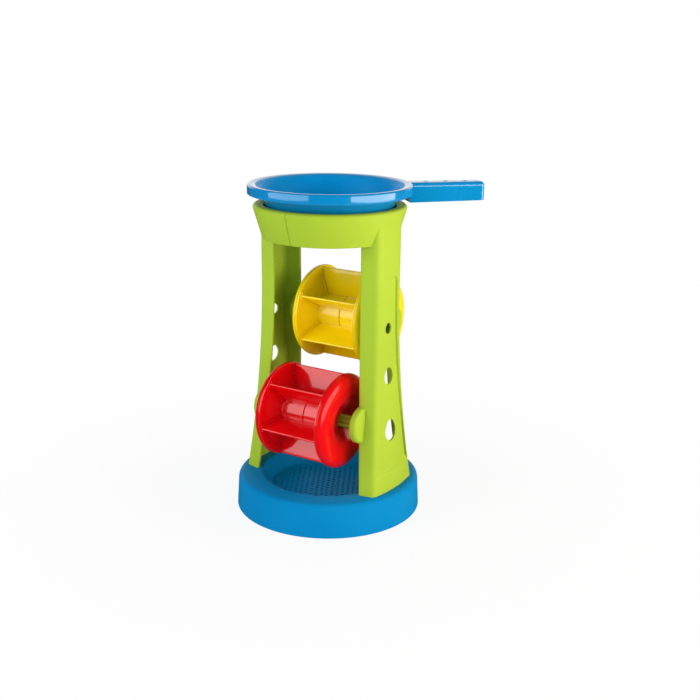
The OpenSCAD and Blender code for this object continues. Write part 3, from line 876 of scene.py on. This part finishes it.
# %% Panel
PANEL_DEPTH = 2.2 * MM
PANEL_LOW_Z, PANEL_HIGH_Z = 52 * MM, 255 * MM
PANEL_TOP_W, PANEL_SWEEP_R = 14.5 * MM, 900 * MM
PANEL_SLOPE = 1.3 * MM
PANEL_CORNER = 6 * MM
PANEL_FOOT_CORNER = 11 * MM
PANEL_FOOT_SOFT = 5 * MM


def smooth(t):
    """A soft step from 0 to 1."""
    t = min(1.0, max(0.0, t))
    return t * t * (3 - 2 * t)


def panel_half_width(z):
    """Half the width of the shallow panel on a leg's outer face."""
    return PANEL_TOP_W + sweep_out(z, NARROW_Z, PANEL_SWEEP_R)


def panel_depth(y, z):
    """How deep the panel is below the outer face at a point of it."""
    mid, half = (PANEL_LOW_Z + PANEL_HIGH_Z) / 2, (PANEL_HIGH_Z - PANEL_LOW_Z) / 2
    corner = PANEL_CORNER if z > mid else PANEL_FOOT_CORNER
    out_y = max(0.0, abs(y) - panel_half_width(z) + corner)
    out_z = max(0.0, abs(z - mid) - half + corner)
    reach = math.hypot(out_y, out_z)
    soft = PANEL_FOOT_SOFT * out_z / reach if z < mid and reach > 0 else 0
    return PANEL_DEPTH * smooth((corner - reach) / (PANEL_SLOPE + soft))


print("panel from", PANEL_LOW_Z, "to", PANEL_HIGH_Z)

# %% Half a leg section
WALL_SHARES = (0, 0.3, 0.6, 0.9)
CORNER_INSIDE_SHARE = 0.35
LEG_CORNER_STEPS = 8
PANEL_MARGIN = 0.4 * MM
PANEL_INSIDE_SHARE = 0.4
BORDER_SHARES = (0.35, 0.7)
SLOPE_SHARES = (0, 0.17, 0.33, 0.5, 0.67, 0.83, 1)
FACE_STEPS = 10


def face_stops(z, start):
    """Where the outer face has points, from its corner at start to the middle."""
    border = min(panel_half_width(z), start - PANEL_MARGIN)
    stops = [start + (border - start) * t for t in BORDER_SHARES]
    stops += [border - PANEL_SLOPE * t for t in SLOPE_SHARES]
    return stops + [(border - PANEL_SLOPE) * (1 - k / FACE_STEPS) for k in range(1, FACE_STEPS + 1)]


def leg_half_path(z, inset):
    """Half of a leg's section at height z, from the side wall's edge to the middle."""
    half_w = LEG_HALF_W + sweep_out(z, NARROW_Z, LEG_SWEEP_R)
    corner = Vector((WAIST_X + sweep_out(z, WAIST_Z, WAIST_SWEEP_R), half_w))
    edge = Vector((FLANGE_X + sweep_out(z, NARROW_Z, FLANGE_SWEEP_R), half_w + FLANGE_SPLAY))
    mid = Vector((corner.x - math.sqrt(FACE_ROUND_R ** 2 - half_w ** 2), 0))
    along = (edge - corner).normalized()
    side = Vector((-along.y, along.x))
    radial = (mid - corner) / FACE_ROUND_R
    corner_in = corner + inset * (side + radial) / (1 + side.dot(radial))
    edge_in = edge + inset * side - along * LEG_WALL / 2
    r = FACE_ROUND_R - inset
    reach = max(LEG_CORNER - inset, LEG_CORNER * CORNER_INSIDE_SHARE)
    on_wall = corner_in + reach * along
    a = math.atan2(corner_in.y, corner_in.x - mid.x) - reach / r
    on_face = mid + r * Vector((math.cos(a), math.sin(a)))
    path = [edge_in + (on_wall - edge_in) * t for t in WALL_SHARES]
    for k in range(LEG_CORNER_STEPS + 1):
        t = k / LEG_CORNER_STEPS
        path.append((1 - t) ** 2 * on_wall + 2 * t * (1 - t) * corner_in + t * t * on_face)
    for y in face_stops(z, on_face.y):
        depth = panel_depth(y, z) * (1 if inset == 0 else PANEL_INSIDE_SHARE)
        path.append(Vector((mid.x + math.sqrt(r ** 2 - y ** 2) - depth, y)))
    return path, along, side


print("half a section", len(leg_half_path(BASE_H, 0)[0]), "points")

# %% Whole leg section
EDGE_STEPS = 6


def leg_section(z):
    """A leg's closed section: outside, round edge, inside, round edge."""
    outer, along, side = leg_half_path(z, 0)
    inner = leg_half_path(z, LEG_WALL)[0]
    middle = (outer[0] + inner[0]) / 2
    edge = [middle + LEG_WALL / 2 * (math.cos(b) * -side + math.sin(b) * along)
            for b in [math.pi * k / EDGE_STEPS for k in range(1, EDGE_STEPS)]]
    loop = outer + [Vector((p.x, -p.y)) for p in reversed(outer[:-1])]
    loop += [Vector((p.x, -p.y)) for p in edge]
    loop += [Vector((p.x, -p.y)) for p in inner] + list(reversed(inner[:-1]))
    return loop + list(reversed(edge))


print("leg section", len(leg_section(BASE_H)), "points")

# %% [markdown]
# ## Collar
# The collar is a cone with a fat round lip and a ledge inside that carries the pan. The legs
# run up into it, so its slope decides where they end. Each tower half has half of it, and
# a fine groove shows where the halves meet.

# %% Collar section
COLLAR_TOP_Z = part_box("tower_right")[1].z
COLLAR_Z = 289 * MM
COLLAR_LOW_R = 68.5 * MM
COLLAR_TOP_R = 77.6 * MM
COLLAR_WALL = 2.9 * MM
COLLAR_FOOT_R = 0.8 * MM
LEDGE_R = 50 * MM
LEDGE_T = 2.6 * MM
LEDGE_EDGE_R = 0.6 * MM
LIP_W = 11 * MM
LIP_R = 3.5 * MM
LIP_STEPS = 8
COLLAR_SLOPE = (COLLAR_TOP_R - COLLAR_LOW_R) / (COLLAR_TOP_Z - LIP_R - COLLAR_Z)


def collar_inner_r(z):
    """The inner radius of the collar's wall at height z."""
    return COLLAR_LOW_R - COLLAR_WALL + (z - COLLAR_Z) * COLLAR_SLOPE


def collar_section():
    """The section of the collar: a cone with a round lip, and the ledge for the pan."""
    outside = Vector((COLLAR_TOP_R - LIP_R, COLLAR_TOP_Z - LIP_R))
    inside = outside - Vector((LIP_W - 2 * LIP_R, 0))
    turns = [QUARTER * k / LIP_STEPS for k in range(LIP_STEPS + 1)]
    over = [outside + LIP_R * Vector((math.cos(a), math.sin(a))) for a in turns]
    over += [inside + LIP_R * Vector((-math.sin(a), math.cos(a))) for a in turns]
    thick_z = COLLAR_TOP_Z - LIP_W
    ledge_z = COLLAR_Z + LEDGE_T
    foot = rounded([
        (over[-1].x, over[-1].y, 0), (LEDGE_R, ledge_z, LEDGE_EDGE_R), (LEDGE_R, COLLAR_Z, LEDGE_EDGE_R),
        (COLLAR_LOW_R, COLLAR_Z, COLLAR_FOOT_R), (over[0].x, over[0].y, 0),
    ])
    wall = [Vector((collar_inner_r(z), z)) for z in (thick_z, ledge_z)]
    return over + wall + foot[1:-1]


print("collar section", len(collar_section()), "points")

# %% Half a collar
PARTING = 0.1 * MM
GROOVE_W, GROOVE_DEPTH = 0.7 * MM, 0.6 * MM
GROOVE_SHARES = (1.0, 0.45)
COLLAR_STEPS = 96


def half_collar():
    """Half a turn of the collar, with its outer edges broken where the two halves meet."""
    outline = collar_section()
    edge = math.asin(PARTING / 2 / COLLAR_TOP_R)
    groove = GROOVE_W / COLLAR_TOP_R
    first, last = -QUARTER + edge, QUARTER - edge
    whole = last - first - 2 * groove
    turns = [first, first + groove / 2]
    turns += [first + groove + whole * k / COLLAR_STEPS for k in range(COLLAR_STEPS + 1)]
    turns += [last - groove / 2, last]
    loops = []
    for k, a in enumerate(turns):
        from_end = min(k, len(turns) - 1 - k)
        cut = GROOVE_DEPTH * GROOVE_SHARES[from_end] if from_end < len(GROOVE_SHARES) else 0.0
        loop = []
        for p in outline:
            outside = p.x > collar_inner_r(p.y) + COLLAR_WALL / 2
            loop.append(upright(p.x - (cut if outside else 0), p.y, a))
        loops.append(loop)
    return solid("collar", loft(loops))


print("groove", GROOVE_W, "wide and", GROOVE_DEPTH, "deep")

# %% [markdown]
# ## Loft of a leg
# Now that the collar's slope is known, so is the height where a leg ends, a little way into
# the collar. We stack the section at many heights, closer together where the panel begins
# and ends, so that its border stays crisp without fine steps all the way up.

# %% Leg loft
LEG_BURY = 3 * MM
LEG_TOP_Z = COLLAR_Z + (math.hypot(WAIST_X, LEG_HALF_W) - COLLAR_LOW_R) / COLLAR_SLOPE + LEG_BURY
LOFT_STEP, LOFT_FINE_STEP = 4 * MM, 0.7 * MM
LOFT_NEAR = 2 * MM
LOFT_LEAST = 1 * MM


def leg_heights():
    """Heights for the loft, closer together where the panel ends."""
    z = BASE_H
    heights = [z]
    while z < LEG_TOP_Z - LOFT_LEAST:
        near_low = -LOFT_NEAR < z - PANEL_LOW_Z < PANEL_FOOT_CORNER + LOFT_NEAR
        near_high = -LOFT_NEAR < PANEL_HIGH_Z - z < PANEL_CORNER + LOFT_NEAR
        z += LOFT_FINE_STEP if near_low or near_high else LOFT_STEP
        heights.append(min(z, LEG_TOP_Z))
    return heights


def leg_loops():
    """The leg's section at each height of the loft."""
    return [[Vector((p.x, p.y, z)) for p in leg_section(z)] for z in leg_heights()]


print("leg loft", len(leg_heights()), "heights up to", round(LEG_TOP_Z, 4))

# %% [markdown]
# ## Ears and holes
# Flat round ears on the legs hold the ends of the axles in blind sockets. Each leg has three
# egg-shaped holes, smaller towards the top. Ears are turned like the wheels, and the holes
# are cut by bars with an egg as their section. A scaled sphere would not cut straight walls.

# %% Ears
EAR_R = 18.8 * MM
EAR_T = 7.4 * MM
EAR_EDGE_R = 3.4 * MM
EAR_BACK_EDGE_R = 0.7 * MM
EAR_ROUND_STEPS = 8
EAR_TURN_STEPS = 96
SOCKET_R = 5.08 * MM
AXLE_END_FIT = 0.5 * MM
OVERRUN = 1 * MM


def ear_section():
    """The section of an ear: a flat disc with a round outer edge."""
    return rounded([
        (0, 0, 0), (EAR_R, 0, EAR_BACK_EDGE_R), (EAR_R, EAR_T, EAR_EDGE_R), (0, EAR_T, 0),
    ], steps=EAR_ROUND_STEPS)


def socket_section():
    """The section of the cutter for a socket, which starts outside the ear."""
    depth = AXLE_END_L + AXLE_END_FIT
    return [Vector(p) for p in ((0, -OVERRUN), (SOCKET_R, -OVERRUN), (SOCKET_R, depth), (0, depth))]


print("ear radius", EAR_R)

# %% Egg-shaped holes
# Height of the middle, width and height of each hole, from the lowest up
LEG_HOLES = [
    (96 * MM, 20 * MM, 22.5 * MM),
    (153.5 * MM, 16 * MM, 17.4 * MM),
    (203 * MM, 11 * MM, 11.4 * MM),
]
HOLE_TOP_SHARE = 0.78
HOLE_STEPS = 20


def hole_cutter(name, z, w, h, x0, x1):
    """An egg-shaped bar along X that cuts one hole, narrower at the top."""
    r, top_r = w / 2, w / 2 * HOLE_TOP_SHARE
    rise = h - r - top_r
    lean = math.asin((r - top_r) / rise) if rise > r - top_r else QUARTER
    low = z - h / 2 + r
    lower = [math.pi - lean + (math.pi + 2 * lean) * k / HOLE_STEPS for k in range(HOLE_STEPS + 1)]
    upper = [lean + (math.pi - 2 * lean) * k / HOLE_STEPS for k in range(HOLE_STEPS + 1)]
    egg = [(r * math.cos(a), low + r * math.sin(a)) for a in lower]
    egg += [(top_r * math.cos(a), low + rise + top_r * math.sin(a)) for a in upper]
    return solid(name, loft([[Vector((x, y, q)) for y, q in egg] for x in (x0, x1)]))


print(len(LEG_HOLES), "holes in each leg")

# %% [markdown]
# ## Tower halves
# The right half is put together once: the leg is trimmed where the pan goes, the collar and
# the ears are joined to it, and the sockets and holes are cut. The left half is its mirror
# image. A Mirror modifier would make one object of both, but each half is a piece of its own.


# %% Tower half
def tower_half(name):
    """One half of the tower, on the +X side."""
    half = solid(name, loft(leg_loops()))
    low, top = COLLAR_Z + LEDGE_T / 2, LEG_TOP_Z + OVERRUN
    room = solid("room", lathe([
        Vector((0, low)), Vector((collar_inner_r(low) + COLLAR_WALL / 2, low)),
        Vector((collar_inner_r(top) + COLLAR_WALL / 2, top)), Vector((0, top))], steps=FINE_TURN_STEPS))
    combine(half, [room], "DIFFERENCE")
    ears, cutters = [], []
    for wheel_name in ("lower", "upper"):
        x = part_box(wheel_name + "_axle")[1].x - AXLE_END_L + AXLE_END_FIT
        place = about_axle({**wheel_facts(wheel_name, 0), "x": x})
        ears.append(solid(wheel_name + "_ear", lathe(ear_section(), place, steps=EAR_TURN_STEPS)))
        cutters.append(solid(wheel_name + "_socket", lathe(socket_section(), place, steps=AXLE_TURN_STEPS)))
    combine(half, [half_collar(), *ears], "UNION")
    inside = WAIST_X - LEG_WALL - 2 * OVERRUN
    cutters += [hole_cutter(f"hole_{i}", *hole, inside, BASE_R) for i, hole in enumerate(LEG_HOLES)]
    return combine(half, cutters, "DIFFERENCE")


# %% Both tower halves
right_half = tower_half("tower_half_right")
left_half = right_half.copy()
left_half.name = "tower_half_left"
left_half.data = right_half.data.copy()
left_half.data.transform(Matrix.Scale(-1, 4, Vector((1, 0, 0))))
left_half.data.flip_normals()
bpy.context.scene.collection.objects.link(left_half)
finish_piece(right_half, GREEN_TOWER, "tower", "tower_right", "tower_green")
finish_piece(left_half, GREEN_TOWER, "tower", "tower_left", "tower_green")

# %% [markdown]
# ## Pan
# The pan is turned too: floor, leaning side, rolled edge and a band that hangs from it. One
# outline goes round both sides of its thin wall, so the rolled edge has its true thickness.
# A Solidify modifier could thicken a single sheet, but its edges would come out square.

# %% Pan section
pan_low, pan_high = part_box("sieve_pan")
PAN_Z, PAN_TOP_Z = pan_low.z, pan_high.z
PAN_RIM_R = -pan_low.x
PAN_WALL = 2.4 * MM
PAN_LEAN = math.radians(20.4)
PAN_FOOT_R = 5 * MM
PAN_ROLL_R = 13.4 * MM
PAN_ROLL_STEP = 0.5 * MM
PAN_ROLL_STEPS = 12
PAN_RIM_ROUND = 2.2 * MM
PAN_BAND_H = 10 * MM
PAN_BAND_EDGE_R = 0.8 * MM


def pan_section():
    """The section of the pan, from the middle of its floor to the band and back below."""
    roll = Vector((PAN_RIM_R - PAN_WALL - PAN_ROLL_STEP, PAN_TOP_Z - PAN_ROLL_R))
    last = math.pi - PAN_LEAN
    ways = [last + (QUARTER - last) * k / PAN_ROLL_STEPS for k in range(PAN_ROLL_STEPS + 1)]
    ways = [Vector((math.cos(a), math.sin(a))) for a in ways]
    over = [roll + PAN_ROLL_R * way for way in ways]
    below = [roll + (PAN_ROLL_R - PAN_WALL) * way for way in reversed(ways)]
    lean = math.tan(PAN_LEAN)
    floor_z, band_z = PAN_Z + PAN_WALL, PAN_TOP_Z - PAN_BAND_H
    inside, outside = over[0], below[-1]
    foot = rounded([
        (0, PAN_Z, 0), (0, floor_z, 0),
        (inside.x - (inside.y - floor_z) * lean, floor_z, PAN_FOOT_R),
        (inside.x, inside.y, 0),
    ])[:-1]
    rim = rounded([
        (over[-1].x, over[-1].y, 0), (PAN_RIM_R, PAN_TOP_Z, PAN_RIM_ROUND),
        (PAN_RIM_R, band_z, PAN_BAND_EDGE_R), (PAN_RIM_R - PAN_WALL, band_z, PAN_BAND_EDGE_R),
        (PAN_RIM_R - PAN_WALL, PAN_TOP_Z - PAN_WALL, 0),
    ])
    heel = rounded([
        (outside.x, outside.y, 0),
        (outside.x - (outside.y - PAN_Z) * lean, PAN_Z, PAN_FOOT_R),
        (0, PAN_Z, 0),
    ])[1:-1]
    return foot + over + rim[1:] + below + heel


print("pan section", len(pan_section()), "points")

# %% [markdown]
# ## Handle
# The handle is a hollow bar, open below, with soft edges and a row of holes in its top. We
# draw the bar as an outline with round corners and lift it in rings to round its top. The
# same function, a wall smaller, makes the cutter for the hollow.

# %% Bars and drills
HANDLE_LEAST_R = 0.3 * MM
HANDLE_EDGE_STEPS = 5
HANDLE_ROUND_STEPS = 8
DRILL_TURN_STEPS = 32


def bar(name, x0, x1, half_w, corner, edge, low0, low1, top):
    """A bar along X with round tip corners and a rounded top edge."""
    rings = [(0, None)]
    for k in range(HANDLE_EDGE_STEPS + 1):
        b = QUARTER * k / HANDLE_EDGE_STEPS
        rings.append((edge * (1 - math.cos(b)), top - edge + edge * math.sin(b)))
    loops = []
    for inset, height in rings:
        r = max(corner - inset, HANDLE_LEAST_R)
        w, tip = half_w - inset, x1 - inset
        loop = []
        corners = [(x0, -w, 0), (tip, -w, r), (tip, w, r), (x0, w, 0)]
        for p in rounded(corners, steps=HANDLE_ROUND_STEPS):
            low = low0 + (low1 - low0) * (p.x - x0) / (x1 - x0)
            loop.append(Vector((p.x, p.y, low if height is None else height)))
        loops.append(loop)
    return solid(name, loft(loops))


def drill(name, x, y, r, low, high):
    """A round upright cutter."""
    section = [Vector(p) for p in ((0, low), (r, low), (r, high), (0, high))]
    made = solid(name, lathe(section, steps=DRILL_TURN_STEPS))
    made.data.transform(Matrix.Translation((x, y, 0)))
    return made


# %% Handle
HANDLE_REACH = 160 * MM
HANDLE_W = 20 * MM
HANDLE_ROOT_H, HANDLE_TIP_H = 20 * MM, 19 * MM
HANDLE_CORNER_R = 4.5 * MM
HANDLE_EDGE_R = 4.0 * MM
HANDLE_HOLLOW_H = 30 * MM
HANDLE_HOLES = [99 * MM, 120 * MM, 141 * MM]
HANDLE_HOLE_R = 2.5 * MM
DRILL_IN, DRILL_OUT = 6 * MM, 2 * MM

root = PAN_RIM_R - PAN_WALL
handle = bar("handle", root, HANDLE_REACH, HANDLE_W / 2, HANDLE_CORNER_R, HANDLE_EDGE_R,
             PAN_TOP_Z - HANDLE_ROOT_H, PAN_TOP_Z - HANDLE_TIP_H, PAN_TOP_Z)
hollow_z = PAN_TOP_Z - HANDLE_HOLLOW_H
cuts = [bar("hollow", root + PAN_WALL, HANDLE_REACH - PAN_WALL, HANDLE_W / 2 - PAN_WALL,
            HANDLE_CORNER_R - PAN_WALL, HANDLE_EDGE_R / 2, hollow_z, hollow_z, PAN_TOP_Z - PAN_WALL)]
cuts += [drill(f"handle_hole_{i}", x, 0, HANDLE_HOLE_R, PAN_TOP_Z - DRILL_IN, PAN_TOP_Z + DRILL_OUT)
         for i, x in enumerate(HANDLE_HOLES)]
combine(handle, cuts, "DIFFERENCE")
print("handle", len(handle.data.polygons), "faces")

# %% [markdown]
# ## Pan and handle in one
# Rings of holes in the floor let the sand through, and the handle grows out of the rim. Pan
# and handle look like one moulding, so they are joined by a Boolean and not only placed side
# by side. The pan is made with its handle along X and then turned.

# %% Pan with its holes
HANDLE_ANGLE = math.radians(45)
PAN_HOLE_RINGS = 3
PAN_HOLES_PER_RING = 6
PAN_HOLE_R, PAN_HOLE_PITCH = 2.5 * MM, 10 * MM

pan = solid("pan_shell", lathe(pan_section(), steps=FINE_TURN_STEPS))
cuts = []
for ring in range(PAN_HOLE_RINGS):
    count = max(1, PAN_HOLES_PER_RING * ring)
    for i in range(count):
        a = math.tau * i / count
        x, y = ring * PAN_HOLE_PITCH * math.cos(a), ring * PAN_HOLE_PITCH * math.sin(a)
        cuts.append(drill(f"pan_hole_{ring}_{i}", x, y, PAN_HOLE_R, PAN_Z - DRILL_OUT, PAN_Z + DRILL_IN))
combine(pan, cuts, "DIFFERENCE")
combine(pan, [handle], "UNION")
pan.data.validate(clean_customdata=False)
pan.data.transform(Matrix.Rotation(HANDLE_ANGLE, 4, "Z"))
finish_piece(pan, BLUE_PAN, "pan", "sieve_pan", "pan_blue")

# %% [markdown]
# ## Three finishes on the pan
# The rim, the outside and the top of the handle are polished. The inside and the flat sides
# of the handle are duller, and the inside is also painted a lighter blue, a painted light. The
# pan is one mesh, so each face gets its material by where it lies and which way it faces.
# Separate meshes could show a seam where they meet.

# %% Pan finishes
INSIDE_PAINTED_LIGHT_SLOT, SIDE_SLOT = 1, 2
MATT_PAINTED_LIGHT_EDGE = 8 * MM
INSIDE_RISE = 0.2
INSIDE_SLACK = 1e-6
FLAT_ENOUGH = 0.99

pan.data.materials.append(BLUE_INSIDE_PAINTED_LIGHT)
pan.data.materials.append(BLUE_BASE)
across = Vector((-math.sin(HANDLE_ANGLE), math.cos(HANDLE_ANGLE), 0))
dull = 0
for face in pan.data.polygons:
    spread = face.center.xy.length
    inward = face.normal.z > INSIDE_RISE and face.normal.xy.dot(face.center.xy) <= INSIDE_SLACK
    if spread > PAN_RIM_R and abs(face.normal.dot(across)) > FLAT_ENOUGH:
        face.material_index = SIDE_SLOT
    elif spread < PAN_RIM_R - MATT_PAINTED_LIGHT_EDGE and inward:
        face.material_index = INSIDE_PAINTED_LIGHT_SLOT
    dull += face.material_index > 0
print("duller faces", dull, "of", len(pan.data.polygons))
